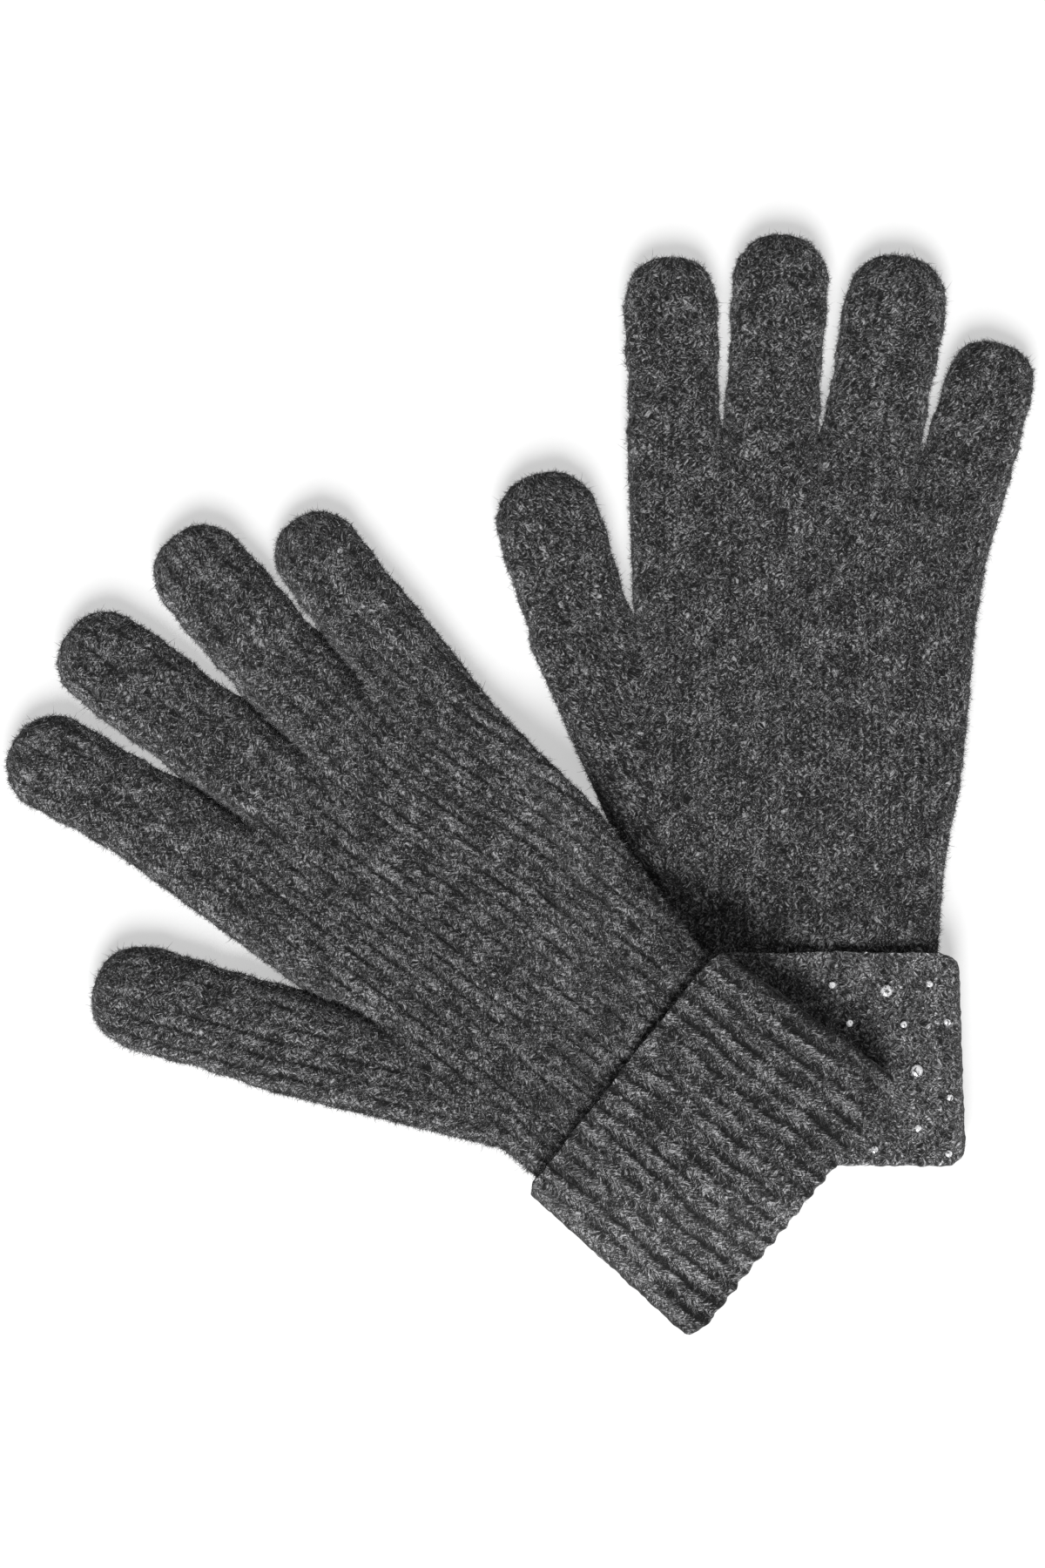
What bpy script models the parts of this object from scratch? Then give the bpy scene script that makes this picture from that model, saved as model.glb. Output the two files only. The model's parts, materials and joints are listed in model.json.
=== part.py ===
"""A pair of knitted wool gloves, lying crossed: the left one, palm up, over the cuff of the right one.

Each glove has a frame of its own, in millimetres: the cuff's free edge lies along its X axis,
the fingers point along +Y, the thumb is on the -X side, and +Z is up. Two empties place the gloves.
A finger's origin is on the line it folds along, which is on top of the knuckle edge.
"""
import math

import bmesh
import bpy
import numpy as np
from mathutils import Matrix, Vector

MM = 0.001
COLLECTION = "knitted_gloves"
CUTTERS = "cutters"

WALL = 1.5  # brushed knit
HAND_THICKNESS = 9.0  # the flattened tube, both layers and the air between them
GAP = 0.35  # between neighbouring pieces
GUSSET_INSET = 0.2  # the thumb's lobe is this much thinner, above and below, than the hand

CUFF_THICKNESS = 12.0
CUFF_EDGE_HALF = 42.5  # half width at the free edge
CUFF_FOLD_HALF = 45.8  # half width at the fold
LAYER_GAP = 0.5  # between the cuff's two layers
WRIST_RUN = 18.0  # the hand comes down from the cuff's inner layer to the table over this length

ROUND_STEPS = 4  # around each half-round side of a section
HAND_STEPS = 8  # across the flat of a hand's section
FINGER_STEPS = 4
CUFF_STEPS = 12
ROW_SPACING = 11.0  # between a hand's sections
TIP_TURNS = (26.0, 48.0, 66.0, 80.0)  # a finger's sections round its tip, in degrees
TIP_BLUNT = 1.2  # half width of the flat that closes a tip
OPEN_RUN = 3.0  # how far a hollow's cutter reaches past the opening it makes
KNUCKLE_BLOCK = Vector((260.0, 60.0, 60.0))

LARGE_STONE = (3.4, 1.1)  # diameter, height
SMALL_STONE = (2.0, 0.8)
STONE_GAP = 0.45
STONE_FACETS = 8
STONE_TABLE = 0.55  # the flat top's share of the diameter
STONE_STAND = 1.5  # room under the left cuff, whose stones face down

LIFT_OVER_CUFF = 12.3  # how far the left glove climbs where the right cuff is under it
LIFT_OVER_HAND = 9.6
CUFF_SLOPE_RUN = 34.0  # how far out the climb starts
HAND_SLOPE_RUN = 20.0
LEVEL_BLEND = (2.0, 26.0)  # along the right glove, where one height turns into the other

WOOL = (0.075, 0.075, 0.080, 1.0)
CRYSTAL = (0.80, 0.82, 0.85, 1.0)

# Outlines are (distance along the glove, distance across) in mm; leans are degrees from +Y towards +X.
# A finger is (name, width at the knuckle, lean, length); knuckle lines follow one another across the hand.
RIGHT = {
    "place": (82.4, -46.1),
    "turn": 0.0,
    "cuff_centre": (-4.8, -6.2),
    "cuff_length": 59.4,
    "cuff_base": 0.0,
    "stones_above": True,
    "thumb_side": ((0.0, -41.5), (20.0, -44.5), (92.4, -51.8), (152.0, -54.0)),
    "little_side": ((0.0, 31.9), (26.4, 34.1), (45.6, 38.4), (69.6, 40.8), (88.8, 42.2),
                    (108.0, 45.6), (131.6, 52.5), (152.0, 58.5)),
    "knuckle": (-53.7, 143.2),
    "fingers": (("index", 26.3, -1.8, 47.6), ("middle", 26.9, 3.7, 54.3),
                ("ring", 28.7, 10.3, 52.6), ("little", 25.6, 16.0, 35.0)),
    "crotch": (-51.9, 92.0),
    "thumb": ("thumb", 29.6, -17.2, 45.5),
    "gusset_root": (-34.0, 6.0, 11.0),
}
LEFT = {
    "place": (26.5, -77.8),
    "turn": 52.0,
    "cuff_centre": (-0.2, -1.6),
    "cuff_length": 62.4,
    "cuff_base": STONE_STAND,
    "stones_above": False,
    "thumb_side": ((0.0, -38.1), (81.4, -37.6), (139.5, -39.3), (152.0, -40.6)),
    "little_side": ((0.0, 38.2), (27.1, 45.4), (48.4, 52.2), (62.0, 53.4), (84.0, 56.0),
                    (96.2, 58.8), (113.5, 63.2), (132.0, 67.2), (152.0, 72.5)),
    "knuckle": (-39.3, 139.5),
    "fingers": (("index", 27.3, -8.5, 45.6), ("middle", 28.0, -1.5, 49.3),
                ("ring", 28.0, 11.4, 46.2), ("little", 25.0, 15.5, 29.0)),
    "crotch": (-37.4, 81.4),
    "thumb": ("thumb", 29.5, -21.5, 55.8),
    "gusset_root": (-28.6, 16.7, 11.0),
}
GLOVES = {"right": RIGHT, "left": LEFT}

# Stones on the back of a cuff: (size, across from the cuff's middle, distance from its free edge)
STONES = (
    (SMALL_STONE, 7.4, -9.4), (LARGE_STONE, 22.3, -11.0), (SMALL_STONE, 34.1, -9.1),
    (SMALL_STONE, 12.5, -19.9), (SMALL_STONE, 27.3, -20.2), (SMALL_STONE, 39.1, -19.7),
    (LARGE_STONE, 31.2, -32.9), (SMALL_STONE, 40.3, -40.3), (SMALL_STONE, 31.9, -48.7),
    (SMALL_STONE, 20.1, -54.5), (SMALL_STONE, 40.3, -55.7), (LARGE_STONE, -12.6, -14.6),
    (SMALL_STONE, -20.5, -9.4), (SMALL_STONE, -2.5, -20.4), (SMALL_STONE, -16.1, -21.0),
    (LARGE_STONE, 4.0, -34.5), (SMALL_STONE, -19.0, -38.0), (SMALL_STONE, -4.7, -49.8),
)


def clear_scene():
    for obj in list(bpy.data.objects):
        bpy.data.objects.remove(obj, do_unlink=True)


def make_collection(name):
    collection = bpy.data.collections.new(name)
    bpy.context.scene.collection.children.link(collection)
    return collection


def make_material(name, colour, roughness, metallic=0.0):
    material = bpy.data.materials.new(name)
    material.use_nodes = True
    shader = material.node_tree.nodes["Principled BSDF"]
    shader.inputs["Base Color"].default_value = colour
    shader.inputs["Roughness"].default_value = roughness
    shader.inputs["Metallic"].default_value = metallic
    material.diffuse_color = colour
    return material


def add_object(name, mesh, collection, parent, colour=WOOL, roughness=0.95):
    obj = bpy.data.objects.new(name, mesh)
    collection.objects.link(obj)
    obj.parent = parent
    mesh.materials.append(make_material(name + "_finish", colour, roughness))
    return obj


def smoothstep(value):
    value = min(max(value, 0.0), 1.0)
    return value * value * (3.0 - 2.0 * value)


# ---- sections and lofts ----------------------------------------------------

def section(half, low, high, flat_steps):
    """A flat tube's outline across it: half-round sides, flat below and above, anticlockwise."""
    radius = min(0.5 * (high - low), half)
    flat = half - radius
    middle = 0.5 * (low + high)
    rise = 0.5 * (high - low)
    points = []
    for side in (1.0, -1.0):
        for step in range(ROUND_STEPS + 1):
            angle = math.pi * (step / ROUND_STEPS - 0.5)
            points.append((side * (flat + radius * math.cos(angle)), middle + side * rise * math.sin(angle)))
        for step in range(1, flat_steps):
            across = flat * (1.0 - 2.0 * step / flat_steps)
            points.append((side * across, middle + side * rise))
    return points


def add_ring(bm, centre, lean, half, low, high, flat_steps):
    """One section, upright, square to a direction that leans from +Y towards +X."""
    cos, sin = math.cos(math.radians(lean)), math.sin(math.radians(lean))
    ring = []
    for across, height in section(half, low, high, flat_steps):
        point = (centre[0] + across * cos, centre[1] - across * sin, height)
        ring.append(bm.verts.new(Vector(point) * MM))
    return ring


def bridge(bm, rings):
    for near, far in zip(rings, rings[1:]):
        for index in range(len(near)):
            following = (index + 1) % len(near)
            bm.faces.new((near[index], near[following], far[following], far[index]))


def finish_mesh(bm, name, smooth_angle=50.0):
    bmesh.ops.recalc_face_normals(bm, faces=bm.faces)
    mesh = bpy.data.meshes.new(name)
    bm.to_mesh(mesh)
    bm.free()
    mesh.shade_smooth()
    mesh.set_sharp_from_angle(angle=math.radians(smooth_angle))
    return mesh


def loft(name, sections, flat_steps, cap_start=True, cap_end=True):
    """A skin through sections given as (centre, lean, half width, low, high)."""
    bm = bmesh.new()
    rings = [add_ring(bm, *values, flat_steps) for values in sections]
    bridge(bm, rings)
    if cap_start:
        bm.faces.new(rings[0])
    if cap_end:
        bm.faces.new(rings[-1])
    return finish_mesh(bm, name)


def outline_at(outline, along):
    return float(np.interp(along, [p[0] for p in outline], [p[1] for p in outline]))


# ---- where things are on a glove -------------------------------------------

def direction(lean):
    return Vector((math.sin(math.radians(lean)), math.cos(math.radians(lean)), 0.0))


def knuckle_centres(glove):
    """The middle of each finger's knuckle line: the lines join end to end, each square to its finger."""
    corner = Vector((*glove["knuckle"], 0.0))
    centres = []
    for _, width, lean, _ in glove["fingers"]:
        across = Vector((math.cos(math.radians(lean)), -math.sin(math.radians(lean)), 0.0))
        centres.append(corner + across * width / 2)
        corner = corner + across * width
    return centres


def thumb_centre(glove):
    _, width, lean, _ = glove["thumb"]
    across = Vector((math.cos(math.radians(lean)), -math.sin(math.radians(lean)), 0.0))
    return Vector((*glove["crotch"], 0.0)) - across * width / 2


def hand_heights(glove, along):
    """The hand's lowest and highest point: on the table, but inside the cuff at the wrist."""
    lift = 1.0 - smoothstep(along / WRIST_RUN)
    low = (glove["cuff_base"] + WALL + LAYER_GAP) * lift
    inner_high = glove["cuff_base"] + CUFF_THICKNESS - WALL - LAYER_GAP
    return low, HAND_THICKNESS + (inner_high - HAND_THICKNESS) * lift


# ---- the hand --------------------------------------------------------------

def hand_sections(glove, inset, start):
    sections = []
    end = glove["thumb_side"][-1][0]
    count = math.ceil(end / ROW_SPACING)
    for along in np.linspace(0.0, end, count + 1):
        left = outline_at(glove["thumb_side"], along) + inset
        right = outline_at(glove["little_side"], along) - inset
        low, high = hand_heights(glove, along)
        place = start if along == 0.0 else along
        if along == end:
            place = end + inset
        sections.append((((left + right) / 2, place), 0.0, (right - left) / 2, low + inset, high - inset))
    return sections


def gusset_sections(glove, inset, overshoot):
    """The lobe from the wrist to the thumb's knuckle line."""
    across, along, half = glove["gusset_root"]
    _, width, lean, _ = glove["thumb"]
    end = thumb_centre(glove)
    root = Vector((across, along, 0.0))
    low = GUSSET_INSET + inset
    high = HAND_THICKNESS - GUSSET_INSET - inset
    raise_root = hand_heights(glove, along)[0]
    sections = []
    for step in range(5):
        share = step / 4
        centre = root.lerp(end, share)
        here = half + (width / 2 - half) * share
        up = raise_root * (1.0 - smoothstep(2.0 * share))
        sections.append(((centre.x, centre.y), lean, here - inset, low + up, high + up))
    beyond = end + direction(lean) * overshoot
    if overshoot:
        sections.append(((beyond.x, beyond.y), lean, width / 2 - inset, low, high))
    return sections


def add_cutter(name, mesh, collection, parent):
    cutter = bpy.data.objects.new(name, mesh)
    collection.objects.link(cutter)
    cutter.parent = parent
    cutter.hide_render = True
    cutter.display_type = "WIRE"
    return cutter


def add_boolean(obj, cutter, operation):
    modifier = obj.modifiers.new(cutter.name, "BOOLEAN")
    modifier.operation = operation
    modifier.object = cutter
    modifier.solver = "EXACT"


def knuckle_cutter(name, centre, lean, collection, parent):
    """A block that ends the hand at one finger's knuckle line."""
    bm = bmesh.new()
    bmesh.ops.create_cube(bm, size=1.0, matrix=Matrix.Diagonal((*(KNUCKLE_BLOCK * MM), 1.0)))
    cutter = add_cutter(name, finish_mesh(bm, name), collection, parent)
    cutter.location = (centre + direction(lean) * KNUCKLE_BLOCK.y / 2) * MM
    cutter.rotation_euler.z = -math.radians(lean)
    return cutter


def build_hand(side, glove, collection, cutters, parent):
    name = side + "_hand"
    hand = add_object(name, loft(name, hand_sections(glove, 0.0, 0.0), HAND_STEPS), collection, parent)
    lobe_mesh = loft(side + "_gusset", gusset_sections(glove, 0.0, 0.0), FINGER_STEPS)
    lobe = add_cutter(side + "_gusset", lobe_mesh, cutters, parent)
    add_boolean(hand, lobe, "UNION")
    hollow_mesh = loft(side + "_palm_hollow", hand_sections(glove, WALL, -OPEN_RUN), HAND_STEPS)
    hollow = add_cutter(side + "_palm_hollow", hollow_mesh, cutters, parent)
    add_boolean(hand, hollow, "DIFFERENCE")
    thumb_mesh = loft(side + "_thumb_hollow", gusset_sections(glove, WALL, OPEN_RUN), FINGER_STEPS)
    thumb_hollow = add_cutter(side + "_thumb_hollow", thumb_mesh, cutters, parent)
    add_boolean(hand, thumb_hollow, "DIFFERENCE")
    for (finger, _, lean, _), centre in zip(glove["fingers"], knuckle_centres(glove)):
        cutter = knuckle_cutter(side + "_" + finger + "_end", centre, lean, cutters, parent)
        add_boolean(hand, cutter, "DIFFERENCE")
    return hand


# ---- fingers ---------------------------------------------------------------

def finger_sections(width, length):
    """A finger from its knuckle line along +Y, its top at height 0, closed by a round tip."""
    half = width / 2 - GAP
    middle = -HAND_THICKNESS / 2
    body = length - half
    sections = []
    for share in (0.0, 0.34, 0.67, 1.0):
        sections.append(((0.0, GAP + (body - GAP) * share), 0.0, half, -HAND_THICKNESS, 0.0))
    for angle in TIP_TURNS:
        turn = math.radians(angle)
        rise = HAND_THICKNESS / 2 * math.cos(turn) ** 0.5
        place = body + half * math.sin(turn)
        sections.append(((0.0, place), 0.0, half * math.cos(turn) + TIP_BLUNT, middle - rise, middle + rise))
    return sections


def build_finger(side, finger, centre, collection, parent):
    name, width, lean, length = finger
    full_name = side + "_" + name
    mesh = loft(full_name, finger_sections(width, length), FINGER_STEPS, cap_start=False)
    obj = add_object(full_name, mesh, collection, parent)
    obj.location = (centre + Vector((0.0, 0.0, HAND_THICKNESS))) * MM
    obj.rotation_euler.z = -math.radians(lean)
    add_shell(obj, -1.0)
    return obj


def add_shell(obj, offset):
    shell = obj.modifiers.new("knit", "SOLIDIFY")
    shell.thickness = WALL * MM
    shell.offset = offset
    shell.use_even_offset = True


# ---- the turned-back cuff --------------------------------------------------

def cuff_profile(length):
    """The middle of the folded rib, as (along, share of the way from outer to inner layer)."""
    bend = (WALL + LAYER_GAP) / 2
    fold = -length + WALL / 2 + bend
    profile = [(-GAP, 1.0)]
    profile += [(fold * share, 1.0) for share in (0.2, 0.4, 0.6, 0.8)]
    for angle in (0.0, 45.0, 90.0, 135.0, 180.0):
        turn = math.radians(angle)
        profile.append((fold - bend * math.sin(turn), 0.5 + 0.5 * math.cos(turn)))
    profile += [(fold * share, 0.0) for share in (0.8, 0.6, 0.4, 0.2)]
    profile.append((-GAP, 0.0))
    return profile


def build_cuff(side, glove, collection, parent):
    edge_centre, fold_centre = glove["cuff_centre"]
    wrist_half = (glove["little_side"][0][1] - glove["thumb_side"][0][1]) / 2
    wrist_centre = (glove["little_side"][0][1] + glove["thumb_side"][0][1]) / 2
    bend = WALL + LAYER_GAP
    sections = []
    for along, inner in cuff_profile(glove["cuff_length"]):
        down = -along / glove["cuff_length"]
        outer_half = CUFF_EDGE_HALF + (CUFF_FOLD_HALF - CUFF_EDGE_HALF) * down
        outer_centre = edge_centre + (fold_centre - edge_centre) * down
        inner_half = wrist_half + (CUFF_FOLD_HALF - bend - wrist_half) * down
        inner_centre = wrist_centre + (fold_centre - wrist_centre) * down
        half = outer_half + (inner_half - outer_half) * inner - WALL / 2
        centre = outer_centre + (inner_centre - outer_centre) * inner
        low = glove["cuff_base"] + WALL / 2 + bend * inner
        high = glove["cuff_base"] + CUFF_THICKNESS - WALL / 2 - bend * inner
        sections.append(((centre, along), 0.0, half, low, high))
    name = side + "_cuff"
    mesh = loft(name, sections, CUFF_STEPS, cap_start=False, cap_end=False)
    cuff = add_object(name, mesh, collection, parent)
    add_shell(cuff, 0.0)
    return cuff


def stone_mesh(name, size):
    """A flat-backed stone: a ring of sloping facets round a flat top, standing on its origin."""
    diameter, height = size
    bm = bmesh.new()
    bmesh.ops.create_cone(bm, cap_ends=True, segments=STONE_FACETS, radius1=diameter / 2 * MM,
                          radius2=diameter / 2 * STONE_TABLE * MM, depth=height * MM,
                          matrix=Matrix.Translation((0.0, 0.0, height / 2 * MM)))
    return finish_mesh(bm, name, 10.0)


def build_stones(side, glove, collection, parent, cuff):
    """Stones on the back of the cuff, each square to the knit under it."""
    edge_centre, fold_centre = glove["cuff_centre"]
    toward = -1.0 if glove["stones_above"] else 1.0
    solid = cuff.evaluated_get(bpy.context.evaluated_depsgraph_get())
    for number, (size, across, along) in enumerate(STONES, 1):
        name = "{}_stone_{:02d}".format(side, number)
        stone = add_object(name, stone_mesh(name, size), collection, parent, CRYSTAL, 0.05)
        x = across + edge_centre + (fold_centre - edge_centre) * -along / glove["cuff_length"]
        start = Vector((x, along, -100.0 * toward)) * MM
        _, place, normal, _ = solid.ray_cast(start, Vector((0.0, 0.0, toward)))
        stone.location = place + normal * STONE_GAP * MM
        stone.rotation_mode = "QUATERNION"
        stone.rotation_quaternion = Vector((0.0, 0.0, 1.0)).rotation_difference(normal)


# ---- the drape of the left glove over the right one --------------------------

def right_footprint():
    """The right glove's plan, up to where its thumb starts."""
    thumb_corner = thumb_centre(RIGHT) * 2 - Vector((*RIGHT["crotch"], 0.0))
    little_corner = RIGHT["little_side"][-2][::-1]
    fold = RIGHT["cuff_centre"][1]
    edge = RIGHT["cuff_centre"][0]
    bottom = -RIGHT["cuff_length"]
    corners = [(fold - CUFF_FOLD_HALF, bottom), (fold + CUFF_FOLD_HALF, bottom),
               (edge + CUFF_EDGE_HALF, 0.0), little_corner, RIGHT["crotch"],
               (thumb_corner.x, thumb_corner.y), (edge - CUFF_EDGE_HALF, 0.0)]
    return [Vector(corner) for corner in corners]


def distance_outside(point, corners):
    """How far a point lies outside a plan outline; 0 inside it."""
    inside = False
    nearest = math.inf
    for start, end in zip(corners, corners[1:] + corners[:1]):
        side = end - start
        share = min(max((point - start).dot(side) / side.length_squared, 0.0), 1.0)
        nearest = min(nearest, (point - start - side * share).length)
        if (start.y > point.y) != (end.y > point.y):
            if point.x < start.x + (point.y - start.y) * side.x / side.y:
                inside = not inside
    return 0.0 if inside else nearest


def make_drape():
    """The height that the right glove gives the left one, at a point of the left glove's frame."""
    corners = right_footprint()
    turn = Matrix.Rotation(math.radians(LEFT["turn"]), 2)
    shift = Vector(LEFT["place"]) - Vector(RIGHT["place"])

    def lift(across, along):
        point = turn @ Vector((across, along)) + shift
        on_hand = smoothstep((point.y - LEVEL_BLEND[0]) / (LEVEL_BLEND[1] - LEVEL_BLEND[0]))
        top = LIFT_OVER_CUFF + (LIFT_OVER_HAND - LIFT_OVER_CUFF) * on_hand
        run = CUFF_SLOPE_RUN + (HAND_SLOPE_RUN - CUFF_SLOPE_RUN) * on_hand
        return top * (1.0 - smoothstep(distance_outside(point, corners) / run))

    return lift


def drape(obj, lift):
    """Apply the modifiers, then raise every point by what lies under it."""
    graph = bpy.context.evaluated_depsgraph_get()
    mesh = bpy.data.meshes.new_from_object(obj.evaluated_get(graph))
    bm = bmesh.new()
    bm.from_mesh(mesh)
    bmesh.ops.triangulate(bm, faces=bm.faces)
    for vert in bm.verts:
        vert.co.z += lift(vert.co.x / MM, vert.co.y / MM) * MM
    bm.to_mesh(mesh)
    bm.free()
    obj.modifiers.clear()
    obj.data = mesh


# ---- assembly --------------------------------------------------------------

def add_frame(name, glove, collection):
    frame = bpy.data.objects.new(name, None)
    collection.objects.link(frame)
    frame.location = Vector((*glove["place"], 0.0)) * MM
    frame.rotation_euler.z = math.radians(glove["turn"])
    return frame


def build_glove(side, collection, cutters):
    glove = GLOVES[side]
    frame = add_frame(side + "_glove_frame", glove, collection)
    hand = build_hand(side, glove, collection, cutters, frame)
    for finger, centre in zip(glove["fingers"], knuckle_centres(glove)):
        build_finger(side, finger, centre, collection, frame)
    build_finger(side, glove["thumb"], thumb_centre(glove), collection, frame)
    cuff = build_cuff(side, glove, collection, frame)
    bpy.context.view_layer.update()
    if side == "left":
        lift = make_drape()
        drape(hand, lift)
        drape(cuff, lift)
        bpy.context.view_layer.update()
    build_stones(side, glove, collection, frame, cuff)
    return frame


def centre_on_floor(frames, collection):
    """Move both gloves so that the pair stands centred on the origin."""
    bpy.context.view_layer.update()
    graph = bpy.context.evaluated_depsgraph_get()
    points = []
    for obj in collection.objects:
        if obj.type == "MESH":
            solid = obj.evaluated_get(graph)
            points += [solid.matrix_world @ vert.co for vert in solid.data.vertices]
    points = np.array(points)
    low, high = points.min(axis=0), points.max(axis=0)
    for frame in frames:
        frame.location -= Vector(((low[0] + high[0]) / 2, (low[1] + high[1]) / 2, low[2]))


def main():
    clear_scene()
    collection = make_collection(COLLECTION)
    cutters = make_collection(CUTTERS)
    frames = [build_glove(side, collection, cutters) for side in GLOVES]
    centre_on_floor(frames, collection)


main()
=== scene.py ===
"""Looks of a pair of knitted wool gloves: a left one, palm up, lying over the cuff of a right one.

Each glove is built in a frame of its own, in millimetres: its cuff's free edge lies along X, its fingers
point along +Y and its thumb is on the -X side. Every size and place is measured on the CAD nodes.
"""
import json
import math

import bmesh
import bpy
import numpy as np
from mathutils import Matrix, Vector

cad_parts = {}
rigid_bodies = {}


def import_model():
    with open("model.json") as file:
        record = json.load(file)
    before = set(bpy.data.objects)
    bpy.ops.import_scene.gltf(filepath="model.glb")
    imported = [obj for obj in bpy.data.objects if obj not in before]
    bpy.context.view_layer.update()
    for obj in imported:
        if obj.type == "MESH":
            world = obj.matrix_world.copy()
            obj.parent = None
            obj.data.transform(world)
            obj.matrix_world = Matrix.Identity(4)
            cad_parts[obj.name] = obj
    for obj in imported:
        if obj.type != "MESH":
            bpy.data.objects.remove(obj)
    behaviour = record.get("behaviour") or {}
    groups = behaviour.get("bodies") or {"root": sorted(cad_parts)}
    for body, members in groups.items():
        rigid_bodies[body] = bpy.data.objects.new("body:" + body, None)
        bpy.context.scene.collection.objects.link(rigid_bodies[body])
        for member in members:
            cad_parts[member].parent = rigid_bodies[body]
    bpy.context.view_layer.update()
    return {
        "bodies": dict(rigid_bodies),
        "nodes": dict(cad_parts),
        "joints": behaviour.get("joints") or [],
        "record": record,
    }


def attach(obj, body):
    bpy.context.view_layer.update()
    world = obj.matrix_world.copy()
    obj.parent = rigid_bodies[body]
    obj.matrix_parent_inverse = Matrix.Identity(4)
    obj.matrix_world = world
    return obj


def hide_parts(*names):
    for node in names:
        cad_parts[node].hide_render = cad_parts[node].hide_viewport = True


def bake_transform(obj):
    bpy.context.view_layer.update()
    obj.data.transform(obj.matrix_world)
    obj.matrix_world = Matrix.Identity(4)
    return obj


MM = 0.001
FINGERS = ("index", "middle", "ring", "little")
DIGITS = ("thumb",) + FINGERS

# Per glove, with lengths in mm:
# turn        degrees from +Y to its fingers
# wale        width of a column of stitches
# rib_height  how far the wales stand out in the mesh; relief says how much they show in the bump and in the
# painted shade of their grooves
# tone        brightness of the wool
# valley      share of the height lost, length and width of the furrow below each finger fork
# crease      depth of the groove along the cuff's free edge
# dent        x, y, reach and depth of a hollow in the upper side
# cuff_...    the same for the cuff; contrast is between the dark and the pale fibres
# corner      radius of the cuff's corners
LOOKS = {
    "right": {"turn": 0.0, "wale": 2.2, "rib_height": 0.04, "relief": 0.3, "tone": 0.88,
              "valley": (0.62, 18.0, 1.5), "crease": 0.4, "dent": (-25.0, 11.0, 16.0, 5.1),
              "cuff_rib": 0.05, "cuff_relief": 0.15, "cuff_tone": 1.6, "cuff_contrast": 0.74, "corner": 5.5},
    "left": {"turn": 52.0, "wale": 4.4, "rib_height": 0.10, "relief": 0.70, "tone": 0.98,
             "valley": (0.95, 34.0, 1.5), "crease": 1.4, "dent": (0.0, 0.0, 1.0, 0.0),
             "cuff_rib": 0.32, "cuff_relief": 0.88, "cuff_tone": 1.12, "cuff_contrast": 1.0, "corner": 4.0},
}
HAND_HIGH = 9.0
CUFF_HIGH = 12.0
LAYER = 2.0  # from a cuff's outer face to its inner layer's outer face
CLOTH = 1.3  # thickness of the knit
SKIN_ROOM = 0.1  # kept free above and below a tube
EDGE_ROUND = 8.5  # how far in from an edge a flat tube reaches its full height
EDGE_SPREAD = 0.35  # how far a stall's knit stands out past its CAD side
FINGER_GAP = 0.5
GAP_RUN = 4.0  # over which the gap between two fingers opens
WRIST_RUN = 18.0  # over which the hand rises into the cuff
WRIST_START = -6.0  # the hand begins this far down, inside the cuff
OUTLINE_END = -40.0  # the traced outline goes on down inside the cuff, so the wrist is no free edge
CREASE_PLACE, CREASE_WIDTH = 0.4, 1.6  # above the cuff's free edge
FURROW_SPREAD = 0.03  # by which a furrow widens along its length
FURROW_START = 3.0  # over which a furrow begins, above its fork
LUMP_HIGH, LUMP_SINK = 0.28, 0.2  # size of the unevenness, and how far it lies below the full height
TIP_POWER = 2.3  # 2 makes a half round tip, and more makes it squarer
LEAST_HALF = 0.02  # half a digit's width at its very tip
KNOB_SMALL, KNOB_LARGE = 0.22, 0.25  # unevenness of a digit's sides
KNOB_RUN = 6.0  # over which it begins
COURSE = 1.7  # one stitch along a wale
STITCH_SLANT = 1.6  # how steeply a stitch's legs climb from the middle of a wale
RELIEF_AT_TIPS = 0.5  # share of a hand's relief that is left at the fingertips
FADE_START, FADE_END = 75.0, 135.0  # along the glove, where that relief, bump and painted groove shade, fades
FAN_START, FAN_RUN = 0.4, 0.55  # shares of the hand's length, where its wales turn into the fingers
RIB_FADE = 3.0  # the raised wales end this far inside a free edge
UNDER_RIBS = 0.3  # height of the wales on the underside, as a share of the upper side's
CRUMPLE_FINE, CRUMPLE_BROAD = 0.13, 0.17  # largest shifts of the felted surface
TABLE_ROOM = 0.02  # lowest height of the knit above the table

# Mesh spacing.
ACROSS_STEP = 0.75
ALONG_STEP = 1.25
LEAST_ROWS = 6
TIP_ROWS = 18
CURVE_SAMPLES = 60  # across a section, before it is spaced evenly
EDGE_SLICES = 48
WELD = 0.03  # points closer than this are joined
FAR = 1e9

# Cuffs.
CUFF_RIBS = 34  # round the whole cuff
RIB_POINTS = 8  # per rib
RIB_WIDTH = 5.3
CUFF_STEP = 1.4  # between the rows of the mesh
FOLD_ROWS = 12
FOLD_ROOM = 0.25  # between the fold's outer face and the CAD's
CUFF_ROOM = 0.05  # between the cuff's underside and the CAD's
SIDE_POINTS = 25  # round each side of a flattened loop
WOBBLE_BROAD, WOBBLE_FINE = 0.35, 0.15  # of the outer layer's rows
DRIFT_BROAD, DRIFT_FINE = 0.10, 0.05  # sideways wander of the ribs, in ribs

# The gusset's inner edge is tucked under the hand, and comes out again at the thumb.
GUSSET_TUCK, GUSSET_SINK = 1.2, 0.25
TUCK_END, SINK_END = 0.85, 0.9  # shares of the gusset's length

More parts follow.
